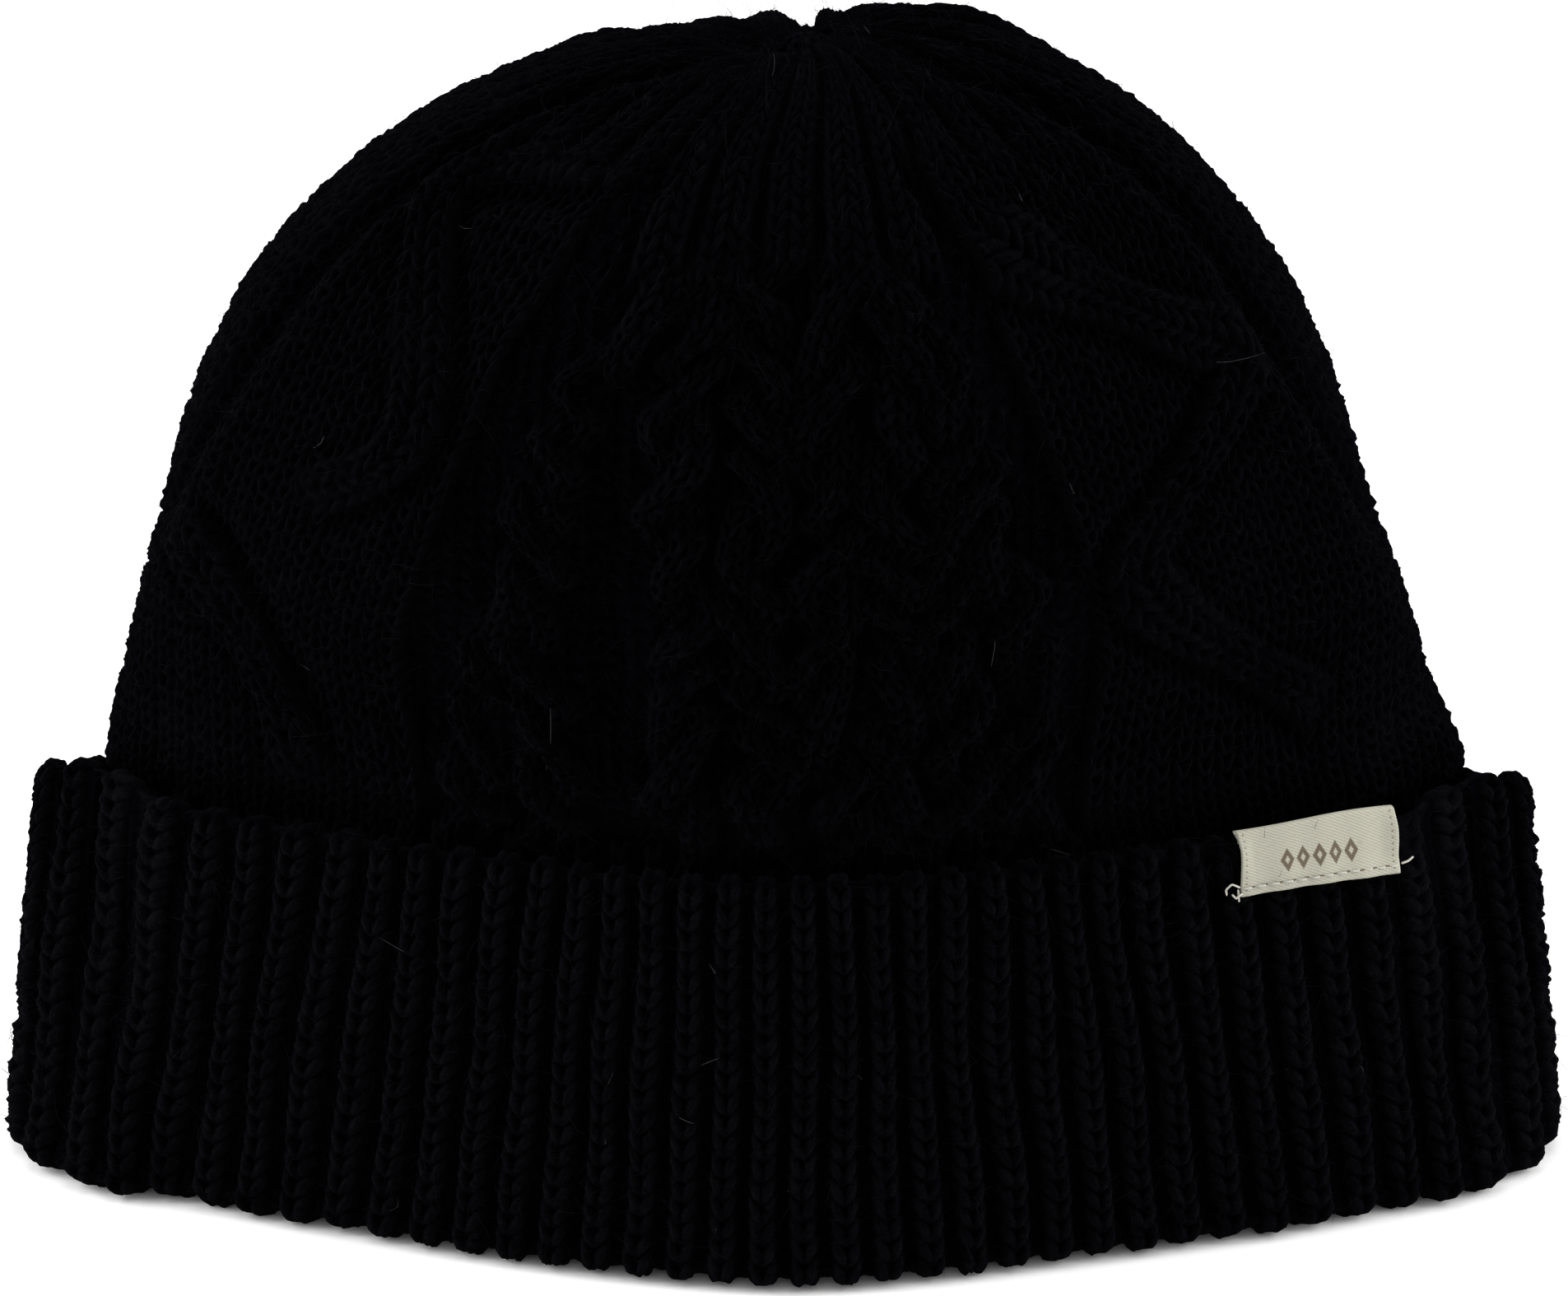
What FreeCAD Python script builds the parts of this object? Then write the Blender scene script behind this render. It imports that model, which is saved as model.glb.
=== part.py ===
import FreeCAD, Part
import math
import os

# A wool beanie with a turn-up ribbed cuff, standing on its brim and lightly opened, in millimetres.
# Origin: middle of the brim on the surface it stands on. +X to the wearer's left as the front is faced,
# -Y is the front, +Z is up. Every level of the hat is a flattened oval made of four tangent arcs.

# ---- Driving dimensions ----
brim_half_width = 111.0       # outside of the cuff at its fold
brim_half_depth = 46.0
side_radius = 14.0            # tight folds at the two sides of the flattened hat
cuff_height = 60.0
cuff_top_half_width = 104.0
cuff_top_half_depth = 41.2
cuff_thickness = 4.5          # one layer of rib
fold_height = 5.0             # thickness of the brim fold that joins cuff and inner band
fold_rounding = 3.0
throat_flare = 6.0            # how far the fold opens out under the inner band

unroll_clearance = 1.5        # all round, between the cuff's top and the band that slides past it
fold_gap = 0.3                # between the fold and the band that stands over it
knit_thickness = 3.5          # inner band and crown fabric
crown_base_half_width = 91.5
crown_base_half_depth = 34.5
crown_base_z = 59.0
crown_height = 104.5          # from the top of the inner band to where the dome's formula closes
crown_cut = 0.99              # share of the crown height at which the gathered top is flat
crown_levels = 12

label_width = 24.0
label_drop = 9.0              # visible leg of the folded label
label_thickness = 0.5
label_x = 72.0
thread_size = 0.35
stitch_length = 1.4
stitch_pitch = 2.2

care_label_width = 24.0
care_label_length = 34.0
care_label_thickness = 0.8
care_label_x = -19.0
care_label_top = 55.0

seam_width = 3.0
seam_thickness = 1.2
cuff_seam_width = 2.4
cuff_seam_thickness = 0.7
seam_top = 143.0

gather_radius = 5.0
gather_thickness = 1.2
gather_post_radius = 2.0
knot_radius = 2.8
tail_radius = 0.9
tail_length = 10.0

UP = FreeCAD.Vector(0, 0, 1)


# ---- Levels: (half width, half depth, side radius, height) ----
def inset(level, distance):
    """The same oval moved inwards by a distance."""
    a, b, r, z = level
    return (a - distance, b - distance, r - distance, z)


def between(low, high, share):
    """The oval part of the way from one level to another."""
    return tuple(p + (q - p) * share for p, q in zip(low, high))


def long_arc_radius(level):
    """Radius of the front and back arcs of an oval."""
    a, b, r, z = level
    return (a * a + b * b - 2 * a * r) / (2 * (b - r))


def oval(level):
    """Closed wire of four tangent arcs, wide in X."""
    a, b, r, z = level
    big = long_arc_radius(level)
    spread = math.asin((a - r) / (big - r))
    x = big * math.sin(spread)
    y = big * math.cos(spread) - (big - b)
    corners = [(x, -y), (x, y), (-x, y), (-x, -y)]
    middles = [(a, 0), (0, b), (-a, 0), (0, -b)]
    edges = []
    for index in range(4):
        start = FreeCAD.Vector(*corners[index], z)
        middle = FreeCAD.Vector(*middles[index], z)
        end = FreeCAD.Vector(*corners[(index + 1) % 4], z)
        edges.append(Part.Arc(start, middle, end).toShape())
    return Part.Wire(edges)


def tube(levels, ruled=True):
    """Solid lofted through the levels, flat at both ends."""
    return Part.makeLoft([oval(level) for level in levels], True, ruled)


def front_point(level, x):
    """Depth of the front arc at x, and the arc's turn about Z there in degrees."""
    big = long_arc_radius(level)
    y = (big - level[1]) - math.sqrt(big * big - x * x)
    return y, math.degrees(math.asin(x / big))


brim = (brim_half_width, brim_half_depth, side_radius, 0.0)
cuff_top = (cuff_top_half_width, cuff_top_half_depth, side_radius, cuff_height)
cuff_inner_top = inset(cuff_top, cuff_thickness)
band_bottom = inset(cuff_inner_top, unroll_clearance)[:3] + (fold_height + fold_gap,)


def cuff_level(z):
    """Outside of the cuff at a height, before its edges are rounded."""
    return between(brim, cuff_top, z / cuff_height)


def crown_level(share):
    """Outside of the crown at a share of its height."""
    a = crown_base_half_width * (1 - 0.27 * share) * math.sqrt(1 - share ** 5.3)
    b = crown_base_half_depth * (1 + 0.60 * share) * math.sqrt(1 - share ** 2.6)
    r = b * (0.30 + 0.30 * share)
    return (a, b, r, crown_base_z + crown_height * share)


# ---- Cuff body ----
def cuff_outside(grow=0.0):
    """Outside form of the cuff with a rounded fold and a rounded top edge, grown outwards if asked."""
    levels = []
    for step in range(4):
        angle = math.radians(30 * step)
        z = fold_rounding * (1 - math.cos(angle))
        levels.append(inset(cuff_level(z), fold_rounding * (1 - math.sin(angle)) - grow))
    edge = cuff_thickness / 3
    for step in range(4):
        angle = math.radians(30 * step)
        z = cuff_height + grow - edge * (1 - math.sin(angle))
        form = inset(cuff_level(z), edge * (1 - math.cos(angle)) - grow)
        levels.append(form[:3] + (z,))
    return tube(levels)


def cuff_well(grow=0.0):
    """Space between the cuff and the inner band, open at the top, made smaller if asked."""
    low = inset(cuff_level(fold_height), cuff_thickness + grow)
    high = inset(cuff_top, cuff_thickness + grow)
    return tube([low, high, high[:3] + (cuff_height + 5.0,)])


def make_turn_up_cuff():
    band_inside = inset(band_bottom, knit_thickness)
    throat_levels = []
    for step in range(4):
        angle = math.radians(30 * step)
        z = fold_height * (1 - math.cos(angle))
        flared = inset(band_inside, -throat_flare * (1 - math.sin(angle)))
        throat_levels.append(flared[:3] + (z,))
    throat_levels.append(band_inside[:3] + (fold_height + 1.0,))
    return cuff_outside().cut(cuff_well()).cut(tube(throat_levels))


def label_window():
    """Box that the folded label lies in, turned square to the cuff."""
    y, turn = front_point(cuff_top, label_x)
    box = Part.makeBox(label_width, 4 * cuff_thickness, label_drop + 5.0)
    box.translate(FreeCAD.Vector(-label_width / 2, -2 * cuff_thickness, 0))
    box.rotate(FreeCAD.Vector(), UP, turn)
    box.translate(FreeCAD.Vector(label_x, y, cuff_height - label_drop))
    return box


def make_woven_label():
    window = label_window()
    cloth = cuff_outside(label_thickness).common(window).cut(cuff_well(label_thickness))
    wall = cuff_outside().common(window).cut(cuff_well())
    return cloth.cut(wall)


def stitch_row(level, centre_x, count, side, stand_off):
    """Row of short thread stitches on the front (side 1) or back (side -1) arc of a level."""
    stitches = []
    for index in range(count):
        x = centre_x + (index - (count - 1) / 2) * stitch_pitch
        y, turn = front_point(level, x)
        stitch = Part.makeBox(stitch_length, thread_size, thread_size)
        stitch.translate(FreeCAD.Vector(-stitch_length / 2, -thread_size - stand_off, 0))
        stitch.rotate(FreeCAD.Vector(), UP, turn)
        stitch.translate(FreeCAD.Vector(x, y, level[3]))
        if side < 0:
            stitch = stitch.mirror(FreeCAD.Vector(), FreeCAD.Vector(0, 1, 0))
        stitches.append(stitch)
    return Part.makeCompound(stitches)


def make_label_stitching():
    level = inset(cuff_level(cuff_height - label_drop + 1.0), -label_thickness)
    return stitch_row(level, label_x, 10, 1, 0.1)


def back_strip(width, low, high):
    """Box over the middle of the back."""
    box = Part.makeBox(width, 2 * brim_half_depth, high - low)
    box.translate(FreeCAD.Vector(-width / 2, 0, low))
    return box


def make_cuff_seam_yarn():
    ridge = cuff_well().cut(cuff_well(cuff_seam_thickness))
    return ridge.common(back_strip(cuff_seam_width, fold_height, cuff_height - 1.0))


# ---- Crown body ----
def band_tube(distance):
    low = inset(band_bottom, distance)
    high = inset(crown_level(0.0), distance)
    return tube([low, high])


def make_inner_rib_band():
    return band_tube(0.0).cut(band_tube(knit_thickness))


def crown_form(distance, cut):
    """Dome of the crown, moved inwards by a distance, with its formula stopped at a share of the height."""
    squeeze = (crown_height - distance) / crown_height
    levels = []
    for step in range(crown_levels + 1):
        share = cut * math.sin(math.pi / 2 * step / crown_levels)
        level = inset(crown_level(share), distance)
        levels.append(level[:3] + (crown_base_z + crown_height * share * squeeze,))
    return tube(levels, ruled=False)


def make_crown_fabric():
    dome = crown_form(0.0, crown_cut).cut(crown_form(knit_thickness, crown_cut - 0.005))
    hole = Part.makeCylinder(gather_post_radius, 20.0, FreeCAD.Vector(0, 0, crown_base_z + crown_height - 15))
    return dome.cut(hole)


def make_back_seam_yarn():
    hollow = band_tube(knit_thickness).fuse(crown_form(knit_thickness, crown_cut - 0.005))
    core = band_tube(knit_thickness + seam_thickness)
    core = core.fuse(crown_form(knit_thickness + seam_thickness, crown_cut - 0.03))
    return hollow.cut(core).common(back_strip(seam_width, 0.0, seam_top))


crown_top_z = crown_base_z + crown_height * crown_cut
ceiling_z = crown_base_z + (crown_height - knit_thickness) * (crown_cut - 0.005)
post_bottom_z = ceiling_z - 0.6


def make_crown_gather_yarn():
    wound = Part.makeCylinder(gather_radius, gather_thickness, FreeCAD.Vector(0, 0, crown_top_z))
    rim = [edge for edge in wound.Edges if edge.BoundBox.ZMin > crown_top_z + gather_thickness / 2]
    wound = wound.makeFillet(gather_thickness * 0.7, [edge for edge in rim if edge.Closed])
    height = crown_top_z - post_bottom_z
    post = Part.makeCylinder(gather_post_radius, height, FreeCAD.Vector(0, 0, post_bottom_z))
    return wound.fuse(post).removeSplitter()


def make_gather_knot():
    centre = FreeCAD.Vector(0, 0, post_bottom_z - knot_radius * 0.8)
    knot = Part.makeSphere(knot_radius, centre)
    for side in (-1, 1):
        direction = FreeCAD.Vector(side * 0.8, 0.3 * side, -1)
        knot = knot.fuse(Part.makeCylinder(tail_radius, tail_length, centre, direction))
    flat_top = Part.makeBox(20, 20, 10, FreeCAD.Vector(-10, -10, post_bottom_z))
    return knot.cut(flat_top)


def make_care_label():
    box = Part.makeBox(care_label_width, 2 * brim_half_depth, care_label_length)
    box.translate(FreeCAD.Vector(care_label_x - care_label_width / 2, 0, care_label_top - care_label_length))
    cloth = band_tube(knit_thickness).cut(band_tube(knit_thickness + care_label_thickness))
    return cloth.common(box)


def make_care_label_stitching():
    share = (care_label_top - 2.0 - band_bottom[3]) / (crown_base_z - band_bottom[3])
    level = between(band_bottom, crown_level(0.0), share)
    level = inset(level, knit_thickness + care_label_thickness + thread_size + 0.3)
    return stitch_row(level, care_label_x, 9, -1, 0.0)


NODES = {
    "turn_up_cuff": make_turn_up_cuff,
    "cuff_seam_yarn": make_cuff_seam_yarn,
    "woven_label": make_woven_label,
    "label_stitching": make_label_stitching,
    "inner_rib_band": make_inner_rib_band,
    "crown_fabric": make_crown_fabric,
    "back_seam_yarn": make_back_seam_yarn,
    "crown_gather_yarn": make_crown_gather_yarn,
    "gather_knot": make_gather_knot,
    "care_label": make_care_label,
    "care_label_stitching": make_care_label_stitching,
}

os.makedirs("parts", exist_ok=True)
for name, make in NODES.items():
    shape = make()
    print(name, "valid", shape.isValid(), "solids", len(shape.Solids), "volume", round(shape.Volume))
    shape.exportStep("parts/" + name + ".step")
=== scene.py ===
import math

import bpy
import numpy as np
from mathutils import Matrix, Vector


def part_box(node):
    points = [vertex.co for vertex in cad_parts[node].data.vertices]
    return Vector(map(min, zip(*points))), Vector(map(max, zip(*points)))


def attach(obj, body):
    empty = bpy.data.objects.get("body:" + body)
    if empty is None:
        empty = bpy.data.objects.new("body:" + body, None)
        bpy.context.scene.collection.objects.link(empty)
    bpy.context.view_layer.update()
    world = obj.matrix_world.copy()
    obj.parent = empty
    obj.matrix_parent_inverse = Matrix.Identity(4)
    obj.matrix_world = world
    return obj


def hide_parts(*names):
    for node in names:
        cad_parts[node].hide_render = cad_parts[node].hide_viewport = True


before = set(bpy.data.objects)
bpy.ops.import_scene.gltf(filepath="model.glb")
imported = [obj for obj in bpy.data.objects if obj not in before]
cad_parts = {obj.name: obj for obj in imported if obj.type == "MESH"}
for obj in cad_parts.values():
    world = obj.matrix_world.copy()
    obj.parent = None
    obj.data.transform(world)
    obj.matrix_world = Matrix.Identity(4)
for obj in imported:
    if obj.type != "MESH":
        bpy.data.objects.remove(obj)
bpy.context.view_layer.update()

# Shapes are worked out in millimetres and made in metres.
MM = 0.001
DETAIL = 1.0
TURN = 2 * math.pi


# ---------------------------------------------------------------- sizes from the frame
def top_of(node):
    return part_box(node)[1] / MM


BRIM_WIDTH = top_of("turn_up_cuff").x
BRIM_DEPTH = top_of("turn_up_cuff").y
CUFF_HEIGHT = top_of("turn_up_cuff").z
CROWN_WIDTH = top_of("crown_fabric").x
CROWN_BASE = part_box("crown_fabric")[0].z / MM
CROWN_TOP = top_of("crown_fabric").z

SIDE_RADIUS = 14.0
CUFF_TOP_WIDTH = BRIM_WIDTH - 7.0
CUFF_TOP_DEPTH = BRIM_DEPTH - 4.8
CUFF_THICKNESS = 4.5
KNIT_THICKNESS = 3.5
CROWN_BASE_DEPTH = 34.5
CROWN_RISE = (CROWN_TOP - CROWN_BASE) / 0.99
CROWN_END = 0.9994
BAND_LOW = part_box("inner_rib_band")[0].z / MM
BAND_WIDTH = top_of("inner_rib_band").x
BAND_DEPTH = top_of("inner_rib_band").y
CROWN_TUCK = 3.2

RIBS = 76
RIB_COURSE = 3.0
RIB_DEPTH = 2.35
RIB_SINK = 1.15
INNER_RIB_DEPTH = 1.5
WALE = 3.05
COURSE = 2.35
ROPE_SWING = 2.6
ROPE_RADIUS = 2.75
GROOVE_DEPTH = 2.9

# Rounded lengths of the cloth round the cuff and the crown, which set how fine their grids are.
CUFF_GIRTH = 505
CROWN_GIRTH = 431
CUFF_FIBRES = 22000
CROWN_FIBRES = 34000
PALE_ONE_IN = 450

LABEL_MIDDLE = 72.0
LABEL_WIDTH = 24.0
LABEL_LEG = 9.0
LABEL_THICKNESS = 0.35
LABEL_STITCH_PITCH = 2.05
LABEL_STITCH_HEIGHT = 1.15
CARE_WIDTH = 24.0
CARE_LENGTH = 34.0
CARE_MIDDLE = -19.0
CARE_TOP = 55.0


# ---------------------------------------------------------------- small maths
def smooth(edge0, edge1, value):
    share = np.clip((value - edge0) / (edge1 - edge0), 0, 1)
    return share * share * (3 - 2 * share)


def bell(value, width):
    return np.exp(-((value / width) ** 2))


def fraction(value):
    return value - np.floor(value)


def coordinates(points):
    return points[..., 0], points[..., 1], points[..., 2]


def points_at(x, y, z):
    """Points from coordinates whose shapes may differ."""
    return np.stack(np.broadcast_arrays(x, y, z), axis=-1)


def scatter(first, second, seed):
    """Repeatable noise from -1 to 1 for pairs of whole numbers."""
    mixed = np.sin(first * 12.9898 + second * 78.233 + seed * 37.719) * 43758.5453
    return 2 * fraction(mixed) - 1


def waves(around, height, seed, count=7, lowest=1, highest=5, reach=70.0):
    """Slow unevenness from -1 to 1, whole numbers of waves around so that it closes on itself."""
    rng = np.random.default_rng(seed)
    total = np.zeros(np.broadcast(around, height).shape)
    for _ in range(count):
        turns = rng.integers(lowest, highest + 1)
        slope = rng.uniform(-1, 1) * TURN / reach
        total += np.sin(math.pi * around * turns + slope * height + rng.uniform(0, TURN))
    return total / math.sqrt(count)


# ---------------------------------------------------------------- the flattened oval
class Ovals:
    """Points of four-arc ovals; around runs from -1 to 1, with 0 at the front and +-1 at the back."""

    def __init__(self, width, depth, radius, around):
        long_radius = (width**2 + depth**2 - 2 * width * radius) / (2 * (depth - radius))
        spread = np.arcsin((width - radius) / (long_radius - radius))
        front = long_radius * spread
        side = radius * (math.pi - 2 * spread)
        self.half_length = 2 * front + side
        self.arc = around * self.half_length
        distance = np.abs(self.arc)
        sign = np.where(around < 0, -1.0, 1.0)
        on_front = distance / long_radius
        on_side = spread + (distance - front) / radius
        on_back = math.pi - spread + (distance - front - side) / long_radius
        is_front = distance <= front
        is_back = distance >= front + side
        turn = np.where(is_front, on_front, np.where(is_back, on_back, on_side))
        long_y = np.where(is_front, long_radius - depth, depth - long_radius)
        bend = np.where(is_front | is_back, long_radius, radius)
        centre_x = np.where(is_front | is_back, 0.0, width - radius)
        centre_y = np.where(is_front | is_back, long_y, 0.0)
        self.x = sign * (centre_x + bend * np.sin(turn))
        self.y = centre_y - bend * np.cos(turn)


def cuff_oval(height, inset, around):
    share = height / CUFF_HEIGHT
    width = BRIM_WIDTH + (CUFF_TOP_WIDTH - BRIM_WIDTH) * share - inset
    depth = BRIM_DEPTH + (CUFF_TOP_DEPTH - BRIM_DEPTH) * share - inset
    return Ovals(width, depth, np.maximum(SIDE_RADIUS - inset, 2.0), around)


def crown_section(share):
    """Half width and half depth of the bare crown at a share of its height."""
    width = CROWN_WIDTH * (1 - 0.27 * share) * np.sqrt(1 - share**5.3)
    depth = CROWN_BASE_DEPTH * (1 + 0.60 * share) * np.sqrt(1 - share**2.6)
    return width, depth


def crown_oval(share, inset, around):
    share = np.maximum(share, 0)
    width, depth = crown_section(share)
    radius = depth * (0.30 + 0.30 * share)
    shrink = np.minimum(1.0, depth / 12.0)
    inset = inset * shrink
    return Ovals(width - inset, depth - inset, np.maximum(radius - inset, 0.25 * depth), around)


def settle(points):
    """The way the soft hat lies: a slight point at the middle of the brim and flatter quarters beside it."""
    x, y, z = coordinates(points)
    out = 3.2 * bell(x - 2, 24) - 2.2 * bell(x + 62, 24) - 0.4 * bell(x - 50, 16)
    out = out + 2.0 * bell(x - 80, 18) * smooth(55, 15, z)
    away = np.sign(y) * smooth(0, 10, np.abs(y))
    y = y + away * out * smooth(115, 68, z)
    return points_at(x, y, z)


def pinch(points, start, end, amount):
    """Front and back pressed together towards the sides, from one distance out to another."""
    x, y, z = coordinates(points)
    y = y * (1 - amount * smooth(start, end, np.abs(x)))
    return points_at(x, y, z)


def shape_cuff(points):
    """The cuff's sides are pressed together at the top, and its back corners droop."""
    z = points[..., 2]
    points = pinch(points, 83, 98, 0.70 * smooth(18, 58, z) - 0.28 * smooth(30, 0, z))
    x, y, z = coordinates(points)
    side = smooth(80, 104, np.abs(x))
    droop = 4.0 * side * smooth(-4, 5, y) + 2.0 * smooth(60, 104, x)
    droop = droop - 0.6 * bell(x - 74, 14) * (y < 0)
    z = z - droop * smooth(30, 60, z)
    return settle(points_at(x, y, z))


# ---------------------------------------------------------------- stitches
def knit(wale, course, slope=1.0):
    """Height from 0 to 1 of V stitches, one column for each whole wale and one row for each whole course."""
    side = np.abs(2 * fraction(wale) - 1)
    phase = 2 * fraction(course - slope * side) - 1
    fullness = 0.74 + 0.26 * np.sin(math.pi * np.clip(side, 0, 1))
    leg = np.sqrt(np.clip(1 - (phase / fullness) ** 2, 0, 1))
    column = np.sqrt(np.clip(1 - ((side - 0.47) / 0.555) ** 2, 0, 1))
    return column * (0.22 + 0.78 * leg)


def purl(wale, course):
    """Height from 0 to 1 of purl bumps, in rows of small arcs."""
    phase = fraction(course + 0.16 * np.cos(TURN * wale) + 0.5 * fraction(np.floor(wale) / 2))
    bump = np.sqrt(np.clip(1 - (2 * phase - 1) ** 2, 0, 1))
    return bump * (0.75 + 0.25 * np.cos(TURN * wale))


def yarn_lines(wale, course, slope=1.0):
    """Coordinates along and across each stitch leg, for the fibres in the yarn's material."""
    side = np.abs(2 * fraction(wale) - 1)
    along = course + slope * side
    across = course - slope * side
    return np.stack([along, across, np.floor(wale) * 0.37], axis=-1)


def rib_phase(around, closer=0.15):
    """Ribs counted from the front; they lie closer at the front and back than at the sides."""
    return RIBS / 2 * (around + closer * np.sin(TURN * around) / TURN)


def rib(phase, course, depth, plain=0.0):
    """Height of 1x1 rib: a rounded column of V stitches and a sunk purl valley for each whole phase.
    Where plain is 1 the column is smooth, as where it turns over an edge."""
    across = fraction(phase) - 0.5
    wale = np.clip(across / 0.80 + 0.5, 0.001, 0.999)
    legs = knit(wale, course, 0.85) * (1 - plain) + 0.75 * plain
    size = 1 + 0.26 * scatter(np.floor(phase), np.floor(course), 3)
    inside = np.abs(across) / (0.298 + 0.085 * legs * size)
    ridge = np.sqrt(np.clip(1 - inside**3, 0, 1))
    column = ridge * (0.40 + 0.60 * legs * size)
    valley = 0.13 * purl(phase + 0.5, course)
    return depth * np.maximum(column, valley)


def rib_lines(phase, course):
    """Yarn coordinates of rib, whose stitches fill the middle of each phase."""
    return yarn_lines(np.clip((fraction(phase) - 0.5) / 0.74 + 0.5, 0, 1) + np.floor(phase), course)


def grain(shape, seed, amount):
    """Fine unevenness of hairy yarn, in millimetres."""
    rng = np.random.default_rng(seed)
    fine = rng.normal(0, 1, shape)
    soft = rng.normal(0, 1, shape)
    for axis in (0, 1):
        soft = (np.roll(soft, 1, axis) + soft + np.roll(soft, -1, axis)) / 1.7
    return amount * (0.55 * fine + 0.8 * soft)


# ---------------------------------------------------------------- meshes
def new_object(name, mesh, material, smooth_shading=True):
    piece = bpy.data.objects.new(name, mesh)
    bpy.context.scene.collection.objects.link(piece)
    mesh.materials.append(material)
    if smooth_shading:
        mesh.polygons.foreach_set("use_smooth", np.ones(len(mesh.polygons), bool))
    mesh.update()
    return piece


def raw_mesh(name, points, faces):
    """Mesh from an array of points in millimetres and an array of faces with equal corner counts."""
    mesh = bpy.data.meshes.new(name)
    corners = faces.shape[1]
    mesh.vertices.add(len(points))
    mesh.vertices.foreach_set("co", (points * MM).astype(np.float32).ravel())
    mesh.loops.add(faces.size)
    mesh.loops.foreach_set("vertex_index", faces.astype(np.int32).ravel())
    mesh.polygons.add(len(faces))
    mesh.polygons.foreach_set("loop_start", np.arange(0, faces.size, corners, dtype=np.int32))
    mesh.update(calc_edges=True)
    return mesh


def ring_faces(rows, columns, closed_rows):
    """Quads of a grid that closes along its columns, and along its rows if asked."""
    row = np.arange(rows if closed_rows else rows - 1)[:, None]
    column = np.arange(columns)[None, :]
    next_row = (row + 1) % rows
    next_column = (column + 1) % columns
    corners = [row * columns + column, row * columns + next_column]
    corners += [next_row * columns + next_column, next_row * columns + column]
    return np.stack(np.broadcast_arrays(*corners), axis=-1).reshape(-1, 4)


def surface_normals(points):
    """Unit normals of a grid that closes both ways."""
    around = np.roll(points, -1, axis=1) - np.roll(points, 1, axis=1)
    along = np.roll(points, -1, axis=0) - np.roll(points, 1, axis=0)
    normal = np.cross(around, along)
    return normal / np.maximum(np.linalg.norm(normal, axis=-1, keepdims=True), 1e-9)


def hollow_shade_mask(height):
    """Mask for painted shade in the hollows: from 0 in the hollows to 1 on the crests, against the cloth
    round about and in all.
    """
    around = height
    for axis in (0, 1):
        total = np.zeros(height.shape)
        for shift in range(-4, 5):
            total += np.roll(around, shift, axis)
        around = total / 9
    return smooth(-0.75, 0.65, height - around) * smooth(-2.4, 0.6, height)


def fabric(name, base, height, lines, material):
    """Closed knitted wall: a base grid that closes both ways, with stitches standing on it."""
    rows, columns = height.shape
    points = base + surface_normals(base) * height[..., None]
    points[..., 2] = np.maximum(points[..., 2], 0.0)
    mesh = raw_mesh(name, points.reshape(-1, 3), ring_faces(rows, columns, True))
    # The crest attribute carries painted shade: the wool's colour darkens in the hollows between stitches.
    crest = mesh.attributes.new("crest", "FLOAT", "POINT")
    crest.data.foreach_set("value", hollow_shade_mask(height).astype(np.float32).ravel())
    attribute = mesh.attributes.new("yarn", "FLOAT_VECTOR", "POINT")
    attribute.data.foreach_set("vector", lines.astype(np.float32).ravel())
    layer = mesh.uv_layers.new(name="OFBake")
    row = np.repeat(np.arange(rows), columns)
    column = np.tile(np.arange(columns), rows)
    u = np.stack([column, column + 1, column + 1, column], axis=-1) / columns
    v = np.stack([row, row, row + 1, row + 1], axis=-1) / rows
    layer.data.foreach_set("uv", np.stack([u, v], axis=-1).astype(np.float32).ravel())
    return new_object(name, mesh, material), points


def tube_mesh(path, radius, sides=8, closed=False, twist=0.0):
    """Points and quads of a yarn along a path, two plies twisted about each other if twist isn't 0."""
    path = np.asarray(path, float)
    count = len(path)
    ahead = np.roll(path, -1, axis=0)
    behind = np.roll(path, 1, axis=0)
    if not closed:
        ahead[-1] = path[-1]
        behind[0] = path[0]
    direction = ahead - behind
    direction /= np.maximum(np.linalg.norm(direction, axis=1, keepdims=True), 1e-9)
    side = np.cross(direction, [0.13, 0.21, 0.97])
    side /= np.maximum(np.linalg.norm(side, axis=1, keepdims=True), 1e-9)
    up = np.cross(side, direction)
    length = np.concatenate([[0], np.cumsum(np.linalg.norm(np.diff(path, axis=0), axis=1))])
    angle = np.linspace(0, TURN, sides, endpoint=False)
    radii = np.broadcast_to(radius, count)[:, None]
    ply = 0.80 + 0.20 * np.abs(np.cos(angle[None, :] - twist * length[:, None])) if twist else 1.0
    ring = radii * ply
    points = path[:, None] + ring[..., None] * (
        np.cos(angle)[None, :, None] * side[:, None] + np.sin(angle)[None, :, None] * up[:, None])
    faces = ring_faces(count, sides, closed)
    return points.reshape(-1, 3), faces


def tube_object(name, paths, radius, material, sides=8, closed=False, twist=0.0):
    """One piece made of yarns along several paths, each closed at its ends."""
    all_points = []
    all_faces = []
    start = 0
    for path in paths:
        thickness = np.full(len(path), float(radius))
        if not closed:
            thickness[0] = radius * 0.05
            thickness[-1] = radius * 0.05
        points, faces = tube_mesh(path, thickness, sides, closed, twist)
        all_points.append(points)
        all_faces.append(faces + start)
        start += len(points)
    mesh = raw_mesh(name, np.concatenate(all_points), np.concatenate(all_faces))
    return new_object(name, mesh, material)


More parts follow.
